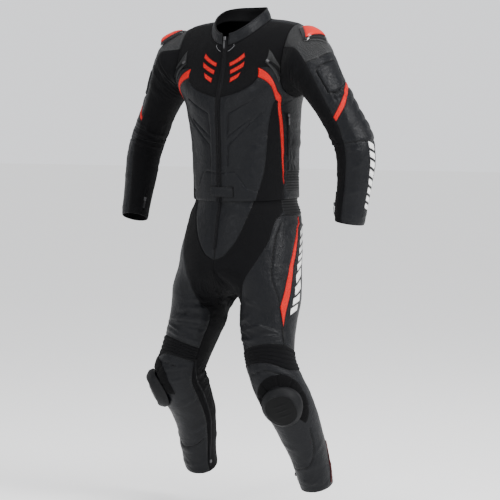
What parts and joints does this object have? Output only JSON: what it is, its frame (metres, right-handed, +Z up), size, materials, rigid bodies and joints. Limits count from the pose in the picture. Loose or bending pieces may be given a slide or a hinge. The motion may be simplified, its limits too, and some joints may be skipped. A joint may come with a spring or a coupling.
{
  "type": "two-piece motorcycle race suit",
  "caption": "Two-piece leather race suit for motorcycling, jacket zipped to trousers, in worn shape with nobody in it: hard shoulder cups, ribbed stretch panels, knee sliders.",
  "frame": {"origin": "middle of the neck base, on the line of the shoulders, where the wearer holds the suit up", "axes": "+X towards the wearer's left, -Y out of the front of the suit, +Z up"},
  "size_m": [0.8097, 0.2984, 1.3472],
  "materials": {
    "black_leather": "fine-grained, softly shining black hide",
    "red_leather": "smooth bright red hide",
    "stretch_fabric": "matt black elastic weave",
    "zip_tape": "black zip tape with black plastic chain",
    "zip_metal": "dark painted zinc",
    "cup_plastic": "gloss black",
    "red_plastic": "satin red",
    "slider_plastic": "satin black"
  },
  "bodies": {
    "suit": {"jacket_front_L": "black_leather", "jacket_front_R": "black_leather", "jacket_yoke_L": "stretch_fabric", "jacket_yoke_R": "stretch_fabric", "jacket_side_stretch_L": "stretch_fabric", "jacket_side_stretch_R": "stretch_fabric", "jacket_side_stripe_L": "red_leather", "jacket_side_stripe_R": "red_leather", "jacket_side_L": "black_leather", "jacket_side_R": "black_leather", "jacket_back": "black_leather", "jacket_back_yoke": "black_leather", "collar": "black_leather", "front_zip": "zip_tape", "pocket_zip_L": "zip_tape", "pocket_zip_R": "zip_tape", "hem_strap": "black_leather", "shoulder_L": "black_leather", "sleeve_top_L": "black_leather", "sleeve_stripe_L": "red_leather", "elbow_L": "black_leather", "forearm_L": "black_leather", "sleeve_under_L": "stretch_fabric", "forearm_under_L": "stretch_fabric", "cuff_zip_L": "zip_tape", "shoulder_cup_L": "cup_plastic", "shoulder_plate_L": "red_plastic", "fly_L": "black_leather", "thigh_stretch_L": "stretch_fabric", "thigh_L": "black_leather", "thigh_stripe_L": "red_leather", "knee_ribs_L": "stretch_fabric", "shin_L": "black_leather", "calf_L": "stretch_fabric", "knee_slider_L": "slider_plastic", "shoulder_R": "black_leather", "sleeve_top_R": "black_leather", "sleeve_stripe_R": "red_leather", "elbow_R": "black_leather", "forearm_R": "black_leather", "sleeve_under_R": "stretch_fabric", "forearm_under_R": "stretch_fabric", "cuff_zip_R": "zip_tape", "shoulder_cup_R": "cup_plastic", "shoulder_plate_R": "red_plastic", "fly_R": "black_leather", "thigh_stretch_R": "stretch_fabric", "thigh_R": "black_leather", "thigh_stripe_R": "red_leather", "knee_ribs_R": "stretch_fabric", "shin_R": "black_leather", "calf_R": "stretch_fabric", "knee_slider_R": "slider_plastic", "seat": "black_leather", "fly_zip": "zip_tape"},
    "front_zip_tab": {"front_zip_tab": "zip_metal"},
    "pocket_zip_tab_L": {"pocket_zip_tab_L": "zip_metal"},
    "pocket_zip_tab_R": {"pocket_zip_tab_R": "zip_metal"},
    "cuff_zip_tab_L": {"cuff_zip_tab_L": "zip_metal"},
    "cuff_zip_tab_R": {"cuff_zip_tab_R": "zip_metal"}
  },
  "joints": [
    {"name": "front_zip_tab_hinge", "type": "hinge", "parent": "suit", "child": "front_zip_tab", "pos_m": [0, -0.08658, -0.04201], "axis": [-1, 0, 0], "range_deg": [0, 150]},
    {"name": "pocket_zip_tab_L_hinge", "type": "hinge", "parent": "suit", "child": "pocket_zip_tab_L", "pos_m": [0.16477, -0.01144, -0.25198], "axis": [-0.191, -0.9615, -0.1978], "range_deg": [0, 150]},
    {"name": "pocket_zip_tab_R_hinge", "type": "hinge", "parent": "suit", "child": "pocket_zip_tab_R", "pos_m": [-0.16478, -0.01128, -0.25197], "axis": [-0.1661, 0.9654, 0.2012], "range_deg": [0, 150]},
    {"name": "cuff_zip_tab_L_hinge", "type": "hinge", "parent": "suit", "child": "cuff_zip_tab_L", "pos_m": [0.28442, 0.02613, -0.49328], "axis": [-0.3637, 0.9284, 0.0763], "range_deg": [0, 150]},
    {"name": "cuff_zip_tab_R_hinge", "type": "hinge", "parent": "suit", "child": "cuff_zip_tab_R", "pos_m": [-0.31869, -0.02701, -0.49163], "axis": [-0.3684, -0.8825, 0.2925], "range_deg": [0, 150]}
  ]
}
